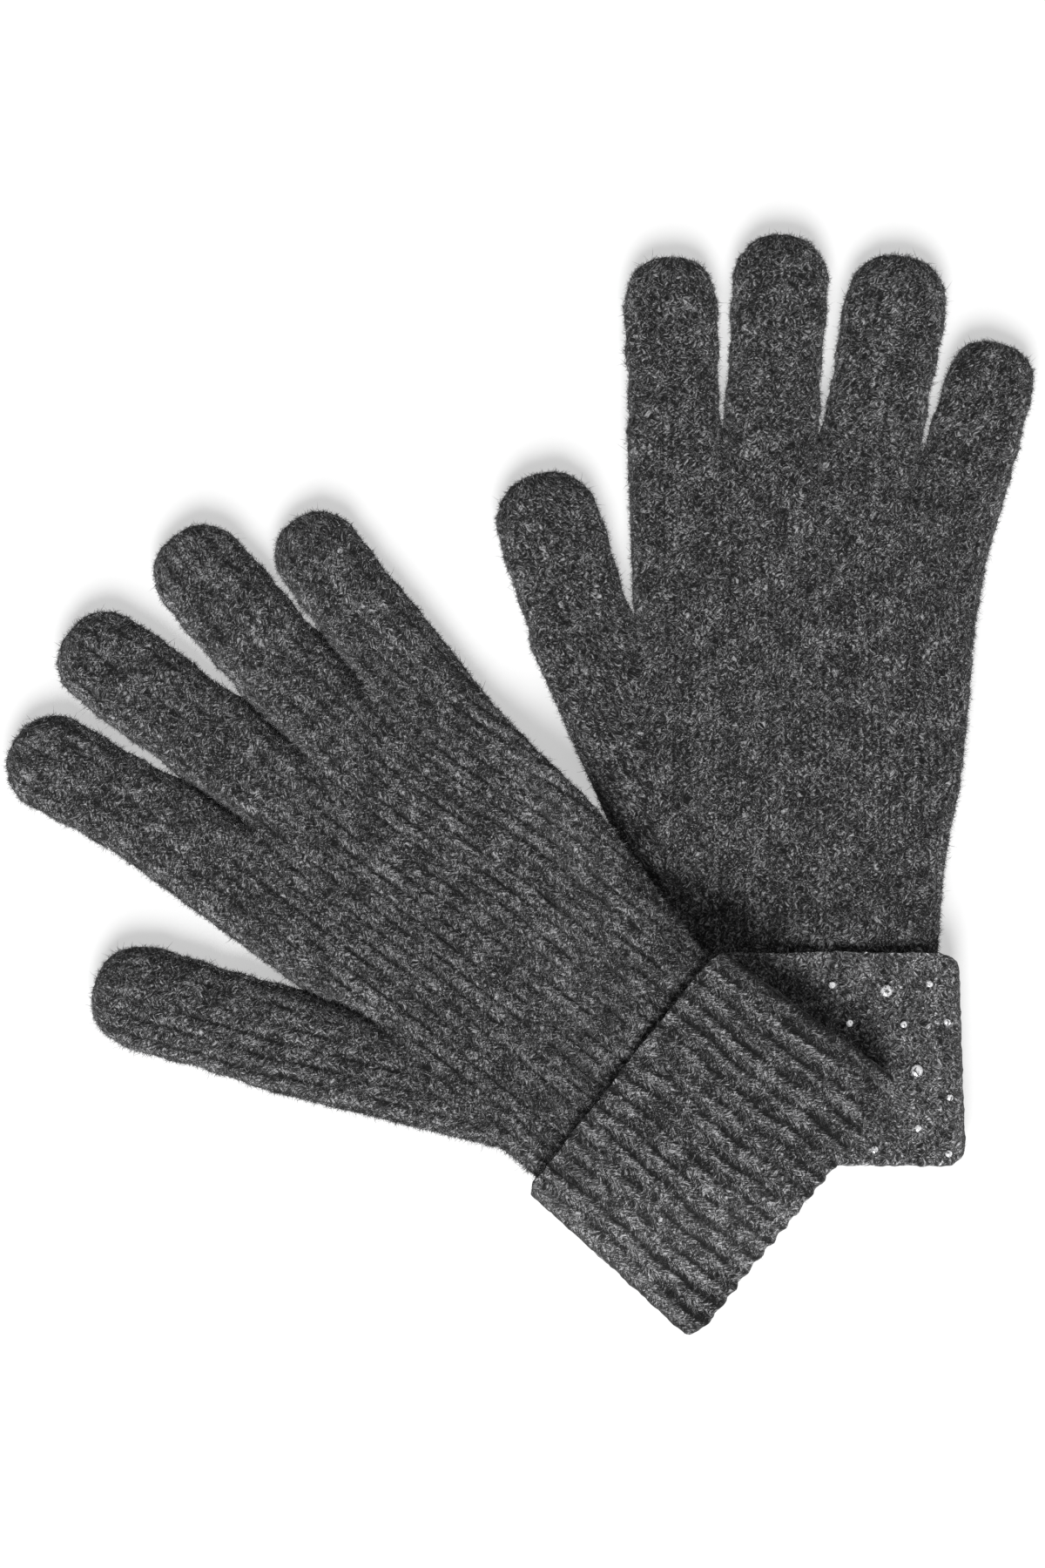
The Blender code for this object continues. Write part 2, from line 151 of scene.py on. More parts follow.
# Loose fibres.
HAIRS_PER_MM2 = 0.5
TOP_NORMAL, UNDER_NORMAL = 0.75, -0.4  # upward parts of a normal that split top, sides and underside
TOP_WEIGHT, SIDE_WEIGHT, UNDER_WEIGHT = 1.0, 9.0, 0.08
HAIR_SPREAD, HAIR_ROOT = 0.45, 0.1  # its root's scatter, and depth below the surface
HAIR_CURL = 0.35
HAIR_LENGTHS = (1.0, 2.6)
HAIR_RADII = (0.03, 0.065)
LONG_SHARE = 0.05  # of the hairs on the sides; the others there are half as long
STAND_SIDE, STAND_TOP = (0.25, 1.4), (0.10, 0.45)  # how steeply hairs stand up from the surface
SIDE_LONG, SIDE_THICK = 1.3, 1.35  # hairs on the sides against those on top
HAIR_ROOM = 0.01  # lowest height of a hair above the table
HAIR_POINTS = 7
HAIR_FACES = ((0, 1, 4), (0, 4, 3), (1, 2, 5), (1, 5, 4), (2, 0, 3), (2, 3, 5),
              (3, 4, 6), (4, 5, 6), (5, 3, 6), (2, 1, 0))

# Stones: reach, height and turn of each ring, in radii and steps.
STONE_RINGS = ((0.96, -0.35, 0.0), (1.0, 0.10, 0.0), (0.80, 0.42, 0.5), (0.46, 0.62, 0.0))
STONE_SIDES = 10

KNUCKLE_RUN = 13.0  # length along a finger from its root to past the knuckle; it is worked out but not used

# The studio, in metres.
FLOOR_REACH = 40.0
FLOOR_BELOW = 0.0003
PAPER_GREY, PAPER_GLOW = 0.38, 0.49
SKY_STRENGTH = 0.36
SUN_FROM, SUN_ENERGY, SUN_WIDE = (-0.06, -0.92, 0.80), 5.8, 38.0
FRAME_LONG = 0.432  # height of the picture, at the gloves
GLOVES_HIGH = 0.006
CAMERA_X, CAMERA_Y = 0.0003, 0.0004

# The slope by which the left glove climbs onto the right one.
LIFT_OVER_CUFF = 12.3
LIFT_OVER_HAND = 9.6
CUFF_SLOPE_RUN = 34.0
HAND_SLOPE_RUN = 20.0
LEVEL_BLEND = (2.0, 26.0)


def smooth(value):
    value = np.clip(value, 0.0, 1.0)
    return value * value * (3.0 - 2.0 * value)


def lean_vectors(lean):
    """Across and along unit vectors of a digit that leans from +Y towards +X, in degrees."""
    cos, sin = math.cos(math.radians(lean)), math.sin(math.radians(lean))
    return np.array((cos, -sin)), np.array((sin, cos))


# ---- measuring the CAD ---------------------------------------------------------

def node_points(frame, name):
    mesh = frame["nodes"][name].data
    points = np.empty(len(mesh.vertices) * 3)
    mesh.vertices.foreach_get("co", points)
    return points.reshape(-1, 3) / MM


class Glove:
    """One glove's frame, outline and heights."""

    def __init__(self, frame, side):
        self.side = side
        self.look = LOOKS[side]
        turn = math.radians(self.look["turn"])
        self.axes = np.array(((math.cos(turn), math.sin(turn)), (-math.sin(turn), math.cos(turn))))
        self.origin = np.zeros(2)
        cuff = self.local(node_points(frame, side + "_cuff"))
        at_edge = cuff[cuff[:, 1] > cuff[:, 1].max() - 1.0]
        middle = np.array(((at_edge[:, 0].min() + at_edge[:, 0].max()) / 2, cuff[:, 1].max()))
        self.origin = middle @ self.axes
        self.base = round(float(cuff[:, 2].min()), 1)  # height of the cuff's underside before any slope
        at_edge = at_edge[:, 0] - middle[0]
        at_fold = cuff[cuff[:, 1] < cuff[:, 1].min() + 3.0][:, 0] - middle[0]
        self.cuff_long = -float(cuff[:, 1].min() - cuff[:, 1].max())
        self.edge_half = float(at_edge.max())
        self.fold_left, self.fold_right = float(at_fold.min()), float(at_fold.max())
        self.digits = {name: self.measure_digit(frame, name) for name in DIGITS}
        self.measure_edges(frame)
        self.outline = self.trace_outline()

    def local(self, points):
        flat = points[:, :2] @ self.axes.T - self.origin @ self.axes.T
        return np.column_stack((flat, points[:, 2]))

    def world(self, points):
        """Millimetres in the glove's frame to metres in the row frame."""
        flat = points[..., :2] @ self.axes + self.origin
        return np.concatenate((flat, points[..., 2:]), axis=-1) * MM

    def measure_digit(self, frame, name):
        joint = next(j for j in frame["joints"] if j["name"] == self.side + "_" + name + "_fold")
        centre = self.local(np.array([joint["pos_m"]]) / MM)[0, :2]
        axis = self.axes @ np.array(joint["axis"][:2])
        lean = -math.degrees(math.atan2(axis[1], axis[0]))
        across, along = lean_vectors(lean)
        points = self.local(node_points(frame, self.side + "_" + name))[:, :2] - centre
        half = float(np.abs(points @ across).max()) + EDGE_SPREAD
        length = float((points @ along).max())
        return {"centre": centre, "lean": lean, "half": half, "length": length,
                "left": centre - across * half, "right": centre + across * half}

    def measure_edges(self, frame):
        """The hand's outer edges, from slices across the CAD hand."""
        mesh = frame["nodes"][self.side + "_hand"].data
        points = self.local(node_points(frame, self.side + "_hand"))
        ends = np.array([edge.vertices[:] for edge in mesh.edges])
        a, b = points[ends[:, 0]], points[ends[:, 1]]
        self.slices = np.linspace(0.5, self.digits["little"]["right"][1] - 1.0, EDGE_SLICES)
        left, right = [], []
        for y in self.slices:
            crossing = (a[:, 1] - y) * (b[:, 1] - y) < 0
            share = (y - a[crossing, 1]) / (b[crossing, 1] - a[crossing, 1])
            x = a[crossing, 0] + share * (b[crossing, 0] - a[crossing, 0])
            left.append(x.min())
            right.append(x.max())
        self.left, self.right = np.array(left), np.array(right)

    def finger_side(self, name):
        """A digit's outline from its left corner round the tip to its right corner."""
        digit = self.digits[name]
        across, along = lean_vectors(digit["lean"])
        rows = finger_rows(digit)
        half = finger_half(digit, rows)
        left = digit["centre"] - np.outer(half, across) + np.outer(rows, along)
        right = digit["centre"] + np.outer(half, across) + np.outer(rows, along)
        return np.vstack((left, right[::-1]))

    def trace_outline(self):
        """The free edge all round: up the thumb's side, round every digit, and down the other side."""
        thumb_end = self.digits["thumb"]["left"][1]
        rise = self.slices < thumb_end - 1.0
        left = np.column_stack((self.left[rise], self.slices[rise]))
        right = np.column_stack((self.right, self.slices))[::-1]
        below = np.array(((left[0, 0], OUTLINE_END),))
        last = np.array(((right[-1, 0], OUTLINE_END),))
        parts = [below, left] + [self.finger_side(name) for name in DIGITS] + [right, last]
        return np.vstack(parts)

    def edge_distance(self, points):
        """How far plan points lie from the free edge."""
        best = np.full(len(points), FAR)
        for start, end in zip(self.outline[:-1], self.outline[1:]):
            side = end - start
            size = max(side @ side, 1e-9)
            share = np.clip((points - start) @ side / size, 0.0, 1.0)
            gap = points - start - np.outer(share, side)
            best = np.minimum(best, np.einsum("ij,ij->i", gap, gap))
        return np.sqrt(best)

    def crotches(self):
        """Each fork between two digits, with the direction down from it."""
        forks = []
        for near, far in zip(DIGITS[:-1], DIGITS[1:]):
            lean = (self.digits[near]["lean"] + self.digits[far]["lean"]) / 2
            corner = self.digits[near]["right"]
            forks.append((corner, -lean_vectors(lean)[1]))
        return forks

    def valleys(self, points):
        """Share of the height lost in the furrow that runs down from each fork."""
        depth, length, narrow = self.look["valley"]
        loss = np.zeros(len(points))
        for corner, down in self.crotches():
            offset = points - corner
            along = offset @ down
            beside = offset @ np.array((down[1], -down[0]))
            width = narrow + FURROW_SPREAD * np.clip(along, 0.0, None)
            fade = smooth(1.6 * (1.0 - along / length)) * smooth(along / FURROW_START + 1.0)
            loss = np.maximum(loss, depth * np.exp(-(beside / width) ** 2) * fade)
        return loss

    def span(self, points):
        """Lowest and highest height of the flattened tube over plan points, before the ribs."""
        inset = 1.0 - np.clip(self.edge_distance(points) / EDGE_ROUND, 0.0, 1.0)
        full = np.sqrt(1.0 - inset ** 2)
        in_cuff = 1.0 - smooth(points[:, 1] / WRIST_RUN)
        low = (self.base + LAYER) * in_cuff
        high = HAND_HIGH + (self.base + CUFF_HIGH - LAYER - HAND_HIGH) * in_cuff
        middle, half = (low + high) / 2, (high - low) / 2 - SKIN_ROOM
        valley = self.valleys(points)
        crease = self.look["crease"] * np.exp(-((points[:, 1] - CREASE_PLACE) / CREASE_WIDTH) ** 2)
        uneven = (self.lumps(points) - self.dent(points) - crease) * full
        top = middle + half * full * (1.0 - valley) + uneven
        bottom = middle - half * full * (1.0 - 0.5 * valley)
        return bottom, top

    def dent(self, points):
        """The hollow beside the other glove's cuff, where this one is pressed down, if there is one."""
        x, y, reach, depth = self.look["dent"]
        return depth * np.exp(-((points[:, 0] - x) ** 2 + (points[:, 1] - y) ** 2) / reach ** 2)

    def lumps(self, points):
        """Soft unevenness of cloth that has been worn and laid down: crossed waves a few cm long."""
        x, y = points[:, 0], points[:, 1]
        waves = np.sin(x / 9.0 + y / 23.0 + 0.6) * np.sin(y / 14.0 - x / 31.0 + 1.1)
        waves = waves + 0.6 * np.sin(x / 5.5 - y / 17.0) * np.sin(y / 8.0 + 2.3)
        return LUMP_HIGH * waves - LUMP_SINK


def finger_rows(digit):
    """Distances along a digit, closer together round its tip."""
    body = digit["length"] - digit["half"]
    straight = np.linspace(0.0, body, max(int(body / ALONG_STEP), LEAST_ROWS))
    turn = np.linspace(0.0, math.pi / 2, TIP_ROWS)[1:]
    return np.concatenate((straight, body + digit["half"] * np.sin(turn)))


def finger_half(digit, rows):
    """Half the width of a digit at each row, with slightly uneven sides and a blunt tip."""
    body = digit["length"] - digit["half"]
    share = np.clip((rows - body) / digit["half"], 0.0, 1.0)
    round_tip = np.clip(1.0 - share ** TIP_POWER, 0.0, 1.0) ** (1 / TIP_POWER)
    side = digit["half"] - FINGER_GAP * smooth(rows / GAP_RUN)
    knobbly = KNOB_SMALL * np.sin(rows / 1.9 + digit["length"])
    knobbly = knobbly + KNOB_LARGE * np.sin(rows / 5.3 + 2.0 * digit["lean"])
    side = side + knobbly * smooth(rows / KNOB_RUN)
    return np.maximum(side * round_tip, LEAST_HALF)


# ---- the drape of the left glove over the right one ----------------------------

def make_lift(left, right):
    """Height that the right glove gives the left one, over plan points of the left glove."""
    thumb = right.digits["thumb"]
    corners = np.array([(right.fold_left, -right.cuff_long), (right.fold_right, -right.cuff_long),
                        (right.edge_half, 0.0), right.digits["little"]["right"],
                        thumb["right"], thumb["left"], (-right.edge_half, 0.0)])

    def lift(points):
        world = points @ left.axes + left.origin
        plan = (world - right.origin) @ right.axes.T
        inside = np.zeros(len(plan), bool)
        nearest = np.full(len(plan), FAR)
        for start, end in zip(corners, np.roll(corners, -1, axis=0)):
            side = end - start
            share = np.clip((plan - start) @ side / (side @ side), 0.0, 1.0)
            gap = plan - start - np.outer(share, side)
            nearest = np.minimum(nearest, np.hypot(gap[:, 0], gap[:, 1]))
            crosses = (start[1] > plan[:, 1]) != (end[1] > plan[:, 1])
            if abs(side[1]) > 1e-9:
                inside ^= crosses & (plan[:, 0] < start[0] + (plan[:, 1] - start[1]) * side[0] / side[1])
        outside = np.where(inside, 0.0, nearest)
        on_hand = smooth((plan[:, 1] - LEVEL_BLEND[0]) / (LEVEL_BLEND[1] - LEVEL_BLEND[0]))
        top = LIFT_OVER_CUFF + (LIFT_OVER_HAND - LIFT_OVER_CUFF) * on_hand
        run = CUFF_SLOPE_RUN + (HAND_SLOPE_RUN - CUFF_SLOPE_RUN) * on_hand
        return top * (1.0 - smooth(outside / run))

    return lift


def no_lift(points):
    """The right glove lies on the table."""
    return np.zeros(len(points))


# ---- meshes --------------------------------------------------------------------

def grid_normals(grid):
    """Unit normals of a grid of points, up for rows along +Y and columns along +X."""
    along = np.gradient(grid, axis=0)
    across = np.gradient(grid, axis=1)
    normal = np.cross(across, along)
    size = np.linalg.norm(normal, axis=-1, keepdims=True)
    return normal / np.maximum(size, 1e-9)


def crumple(points):
    """Small uneven shifts of a felted surface, the same for points that lie in the same place."""
    shift = np.zeros(points.shape)
    for axis in range(3):
        x, y, z = np.roll(points, axis, axis=1).T
        fine = np.sin(2.1 * x + 0.7 * y + axis) * np.sin(1.7 * y - 0.9 * x + 0.8 * z)
        broad = np.sin(0.9 * x - 0.5 * y + 2.0 * axis) * np.sin(1.1 * y + 0.4 * x + 0.6 * z)
        shift[:, axis] = CRUMPLE_FINE * fine + CRUMPLE_BROAD * broad
    shift[:, 2] *= smooth(points[:, 2] / 2.0)
    return shift


class Sheets:
    """Grids of points gathered into one mesh, with knit coordinates in its UV map."""

    def __init__(self):
        self.points, self.uvs, self.faces = [], [], []
        self.count = 0

    def add(self, grid, uv, flip=False):
        rows, columns = grid.shape[:2]
        index = np.arange(rows * columns).reshape(rows, columns) + self.count
        quads = np.stack((index[:-1, :-1], index[:-1, 1:], index[1:, 1:], index[1:, :-1]), axis=-1)
        quads = quads.reshape(-1, 4)
        self.faces.append(quads[:, ::-1] if flip else quads)
        self.points.append(grid.reshape(-1, 3))
        self.uvs.append(uv.reshape(-1, 2))
        self.count += rows * columns

    def build(self, name, glove, offset):
        """The object with the knit's thickness, and the thin mesh that its fibres grow on."""
        points = np.vstack(self.points)
        points = glove.world(points + crumple(points))
        faces = np.vstack(self.faces)
        uvs = np.vstack(self.uvs)[faces.ravel()]
        mesh = bpy.data.meshes.new(name)
        mesh.from_pydata(points.tolist(), [], faces.tolist())
        layer = mesh.uv_layers.new(name="knit")
        layer.data.foreach_set("uv", uvs.ravel())
        bm = bmesh.new()
        bm.from_mesh(mesh)
        bmesh.ops.remove_doubles(bm, verts=bm.verts, dist=WELD * MM)
        bmesh.ops.dissolve_degenerate(bm, edges=bm.edges, dist=1e-7)
        bm.to_mesh(mesh)
        bm.free()
        mesh.shade_smooth()
        obj = bpy.data.objects.new(name, mesh)
        bpy.context.scene.collection.objects.link(obj)
        skin = obj.data.copy()
        shell = obj.modifiers.new("cloth", "SOLIDIFY")
        shell.thickness = CLOTH * MM
        shell.offset = offset
        graph = bpy.context.evaluated_depsgraph_get()
        solid = bpy.data.meshes.new_from_object(obj.evaluated_get(graph))
        obj.modifiers.clear()
        obj.data = solid
        solid.name = name
        solid.set_sharp_from_angle(angle=math.radians(70.0))
        return obj, skin


def rib_wave(phase):
    """A column of stitches in section: round on top, with a narrow groove each side; mean near 0."""
    return 0.75 - 2.0 * np.abs(np.sin(math.pi * phase)) ** 4


def resample(line, steps):
    """Points spaced evenly along a line of points."""
    gaps = np.linalg.norm(np.diff(line, axis=0), axis=1)
    length = np.concatenate(((0.0,), np.cumsum(gaps)))
    even = np.linspace(0.0, length[-1], steps + 1)
    return np.column_stack([np.interp(even, length, line[:, axis]) for axis in range(line.shape[1])])


def clustered(count):
    """Shares from 0 to 1, closer together at both ends."""
    return 0.5 - 0.5 * np.cos(np.linspace(0.0, math.pi, count))


def row_sheets(glove, rows, steps):
    """Top and bottom grids over plan rows; each row is a list of (start, end) stretches."""
    share = clustered(CURVE_SAMPLES)[:, None]
    tops, bottoms = [], []
    for stretches in rows:
        top_row, bottom_row = [], []
        for (start, end), count in zip(stretches, steps):
            plan = start + (end - start) * share
            low, high = glove.span(plan)
            for heights, row in ((high, top_row), (low, bottom_row)):
                line = resample(np.column_stack((plan, heights)), count)
                row.append(line if not row else line[1:])
        tops.append(np.vstack(top_row))
        bottoms.append(np.vstack(bottom_row))
    return np.array(tops), np.array(bottoms)


def add_ribs(glove, grid, uv, sign, amount):
    """Raise the grid along its normals by the wales, and fade that out at the free edge."""
    flat = grid.reshape(-1, 3)
    keep = smooth(glove.edge_distance(flat[:, :2]) / RIB_FADE).reshape(grid.shape[:2])
    wave = rib_wave(uv[..., 0]) * amount * keep
    return grid + grid_normals(grid) * (sign * wave)[..., None]


def raised(grid, lift):
    """The grid, lifted by the slope of the drape."""
    flat = grid.reshape(-1, 3).copy()
    flat[:, 2] += lift(flat[:, :2])
    return flat.reshape(grid.shape)


def add_tube(sheets, glove, tops, bottoms, uv, lift):
    """Both sides of a flat tube, with their wales."""
    amount = glove.look["rib_height"]
    top = add_ribs(glove, tops, uv, 1.0, amount)
    bottom = add_ribs(glove, bottoms, uv, -1.0, UNDER_RIBS * amount)
    bottom[..., 2] = np.maximum(bottom[..., 2], TABLE_ROOM)
    sheets.add(raised(top, lift), uv)
    sheets.add(raised(bottom, lift), uv, flip=True)


def across_steps(digit):
    return int(round(2.0 * digit["half"] / ACROSS_STEP))


def hand_boundaries(glove, count):
    """The edges of the four finger strips, from inside the cuff to the knuckle line."""
    left, right = glove.left[0], glove.right[0]
    corners = [glove.digits["index"]["left"]] + [glove.digits[name]["right"] for name in FINGERS]
    share = np.linspace(0.0, 1.0, count)
    curves = []
    for number, corner in enumerate(corners):
        y = WRIST_START + share * (corner[1] - WRIST_START)
        if number == 0:
            fork = glove.digits["thumb"]["right"]
            x = np.interp(y, (0.0, fork[1], corner[1]), (left, fork[0], corner[0]))
        elif number == len(corners) - 1:
            x = np.interp(y, np.append(glove.slices, corner[1]), np.append(glove.right, corner[0]))
        else:
            start = left + (right - left) * number / len(FINGERS)
            x = start + (corner[0] - start) * smooth(share)
        curves.append(np.column_stack((x, y)))
    return curves


def hand_uv(glove, grid, steps):
    """Wales run straight up the hand, then turn into the fingers."""
    wale = glove.look["wale"]
    count = len(grid)
    corner = glove.digits["index"]["left"][0] / wale
    fan = [np.array((corner,))]
    for name, columns in zip(FINGERS, steps):
        width = 2.0 * glove.digits[name]["half"] / wale
        fan.append(fan[-1][-1] + np.linspace(0.0, width, columns + 1)[1:])
    fan = np.concatenate(fan)
    turn = smooth((np.linspace(0.0, 1.0, count) - FAN_START) / FAN_RUN)[:, None]
    across = grid[..., 0] / wale * (1.0 - turn) + fan * turn
    return np.stack((across, grid[..., 1] / COURSE), axis=-1)


def build_hand(glove, lift):
    count = int((glove.digits["middle"]["left"][1] - WRIST_START) / ALONG_STEP)
    curves = hand_boundaries(glove, count)
    steps = [across_steps(glove.digits[name]) for name in FINGERS]
    rows = [[(near[row], far[row]) for near, far in zip(curves, curves[1:])] for row in range(count)]
    tops, bottoms = row_sheets(glove, rows, steps)
    uv = hand_uv(glove, tops, steps)
    sheets = Sheets()
    add_tube(sheets, glove, tops, bottoms, uv, lift)
    tops, bottoms, uv = gusset_grids(glove)
    add_tube(sheets, glove, tops, bottoms, uv, lift)
    return sheets.build(glove.side + "_hand_knit", glove, offset=-1.0)


def gusset_grids(glove):
    """The wedge between the hand and the thumb, tucked a little under the hand's first wale."""
    thumb = glove.digits["thumb"]
    count = int((thumb["right"][1] - WRIST_START) / ALONG_STEP)
    share = np.linspace(0.0, 1.0, count)
    y = WRIST_START + share * (thumb["left"][1] - WRIST_START)
    rise = glove.slices < thumb["left"][1] - 1.0
    x = np.interp(y, np.append(glove.slices[rise], thumb["left"][1]),
                  np.append(glove.left[rise], thumb["left"][0]))
    outer = np.column_stack((x, y))
    y = WRIST_START + share * (thumb["right"][1] - WRIST_START)
    tuck = GUSSET_TUCK * (1.0 - smooth((share - TUCK_END) / (1.0 - TUCK_END)))
    x = np.interp(y, (0.0, thumb["right"][1]), (glove.left[0], thumb["right"][0])) + tuck
    inner = np.column_stack((x, y))
    steps = [across_steps(thumb)]
    rows = [[(outer[row], inner[row])] for row in range(count)]
    tops, bottoms = row_sheets(glove, rows, steps)
    inward = smooth(np.linspace(-3.0, 1.0, steps[0] + 1))
    under = GUSSET_SINK * inward * (1.0 - smooth((share - SINK_END) / (1.0 - SINK_END)))[:, None]
    tops[..., 2] -= under
    bottoms[..., 2] += under
    corner = thumb["left"][0] / glove.look["wale"]
    across = corner + np.hypot(*np.moveaxis((tops - tops[:, :1])[..., :2], -1, 0)) / glove.look["wale"]
    return tops, bottoms, np.stack((across, tops[..., 1] / COURSE), axis=-1)


def build_digit(glove, name, lift):
    digit = glove.digits[name]
    across, along = lean_vectors(digit["lean"])
    rows_at = finger_rows(digit)
    half = finger_half(digit, rows_at)
    half[0] = digit["half"]
    rows = []
    for place, side in zip(rows_at, half):
        centre = digit["centre"] + along * place
        rows.append([(centre - across * side, centre + across * side)])
    steps = [across_steps(digit)]
    tops, bottoms = row_sheets(glove, rows, steps)
    wale = glove.look["wale"]
    start = glove.digits["index"]["left"][0] / wale
    if name == "thumb":
        start = digit["left"][0] / wale
    else:
        before = FINGERS[:FINGERS.index(name)]
        start += sum(2.0 * glove.digits[other]["half"] for other in before) / wale
    shares = np.linspace(0.0, 2.0 * digit["half"] / wale, steps[0] + 1)
    uv = np.empty(tops.shape[:2] + (2,))
    uv[..., 0] = start + shares
    uv[..., 1] = (tops[0, :, 1][None, :] + rows_at[:, None]) / COURSE
    sheets = Sheets()
    add_tube(sheets, glove, tops, bottoms, uv, lift)
    return sheets.build(glove.side + "_" + name + "_knit", glove, offset=-1.0)


# ---- cuffs ---------------------------------------------------------------------

def flat_loop(half, low, high, count):
    """A flattened tube's section, evenly spaced by length, from the middle of its underside."""
    radius = (high - low) / 2
    flat = half - radius
    turn = np.linspace(-math.pi / 2, math.pi / 2, SIDE_POINTS)
    right = np.column_stack((flat + radius * np.cos(turn), radius * np.sin(turn)))
    left = -right
    line = np.vstack((((0.0, -radius),), right, left, ((0.0, -radius),)))
    line[:, 1] += (low + high) / 2
    return resample(line, count)[:-1]


def cuff_rows(length):
    """(along, share of the way from outer to inner layer) down the inner layer, round the fold, and up."""
    bend = LAYER / 2
    fold = -length + CLOTH / 2 + FOLD_ROOM + bend
    down = np.linspace(-0.5, fold, int(-fold / CUFF_STEP))
    turn = np.linspace(0.0, math.pi, FOLD_ROWS)[1:-1]
    rows = [(y, 1.0) for y in down]
    rows += [(fold - bend * math.sin(a), 0.5 + 0.5 * math.cos(a)) for a in turn]
    rows += [(y, 0.0) for y in down[::-1]]
    return rows


def round_corner(across, half, depth, radius):
    """How far a cuff's corners draw in at its fold, and a little less at its free edge."""
    reach = np.clip((np.abs(across) - (half - radius)) / radius, 0.0, 1.0)
    inward = radius * (1.0 - np.sqrt(1.0 - reach ** 2))
    return inward * (smooth(-3.0 * depth - 2.0) - 0.8 * smooth(1.0 + 4.0 * depth))


def cuff_section(glove, along, inner):
    """A cuff's loop at one row: half its width, its middle, and its lowest and highest height."""
    wrist_half = (glove.right[0] - glove.left[0]) / 2
    wrist_centre = (glove.right[0] + glove.left[0]) / 2
    fold_half = (glove.fold_right - glove.fold_left) / 2
    fold_centre = (glove.fold_right + glove.fold_left) / 2
    down = -along / glove.cuff_long
    half = glove.edge_half + (fold_half - glove.edge_half) * down
    centre = fold_centre * down
    half += (wrist_half + (fold_half - LAYER - wrist_half) * down - half) * inner - CLOTH / 2
    centre += (wrist_centre + (fold_centre - wrist_centre) * down - centre) * inner
    low = glove.base + CLOTH / 2 + LAYER * inner
    high = glove.base + CUFF_HIGH - CLOTH / 2 - LAYER * inner
    return half, centre, low, high


def build_cuff(glove, lift):
    count = CUFF_RIBS * RIB_POINTS
    around = np.arange(count)
    grid, uv = [], []
    length = 0.0
    before = None
    for along, inner in cuff_rows(glove.cuff_long):
        half, centre, low, high = cuff_section(glove, along, inner)
        loop = flat_loop(half, low, high, count)
        wobble = WOBBLE_BROAD * np.sin(loop[:, 0] / 13.0 + 0.7) + WOBBLE_FINE * np.sin(loop[:, 0] / 4.1)
        wobble = wobble * (1.0 - inner)
        corner = round_corner(loop[:, 0], half, along / glove.cuff_long, glove.look["corner"])
        grid.append(np.column_stack((loop[:, 0] + centre, along + wobble + corner, loop[:, 1])))
        spot = np.array((along, LAYER * inner))
        if before is not None:
            length += float(np.linalg.norm(spot - before))
        before = spot
        drift = DRIFT_BROAD * np.sin(along / 7.0 + around / 40.0) + DRIFT_FINE * np.sin(along / 2.7)
        uv.append(np.column_stack((around / RIB_POINTS + 0.5 + drift, np.full(count, length / COURSE))))
    grid, uv = np.array(grid), np.array(uv)
    grid = np.concatenate((grid, grid[:, :1]), axis=1)
    uv = np.concatenate((uv, uv[:, :1] + np.array((CUFF_RIBS, 0.0))), axis=1)
    closed = np.concatenate((grid[:, -2:-1], grid, grid[:, 1:2]), axis=1)
    normal = grid_normals(closed)[:, 1:-1]
    wave = rib_wave(uv[..., 0]) * glove.look["cuff_rib"]
    grid = grid + normal * wave[..., None]
    grid[..., 2] = np.maximum(grid[..., 2], glove.base + CLOTH / 2 + CUFF_ROOM)
    sheets = Sheets()
    sheets.add(raised(grid, lift), uv)
    return sheets.build(glove.side + "_cuff_rib", glove, offset=0.0)


# ---- fuzz ----------------------------------------------------------------------

def face_data(mesh):
    """Each face's area, normal and middle."""
    count = len(mesh.polygons)
    area, normal, centre = np.empty(count), np.empty(count * 3), np.empty(count * 3)
    mesh.polygons.foreach_get("area", area)
    mesh.polygons.foreach_get("normal", normal)
    mesh.polygons.foreach_get("center", centre)
    return area, normal.reshape(-1, 3), centre.reshape(-1, 3)


def unit(vectors):
    return vectors / np.maximum(np.linalg.norm(vectors, axis=1, keepdims=True), 1e-9)


def flattened(vectors, normal):
    """The part of each vector that lies along the face."""
    return vectors - normal * np.einsum("ij,ij->i", vectors, normal)[:, None]


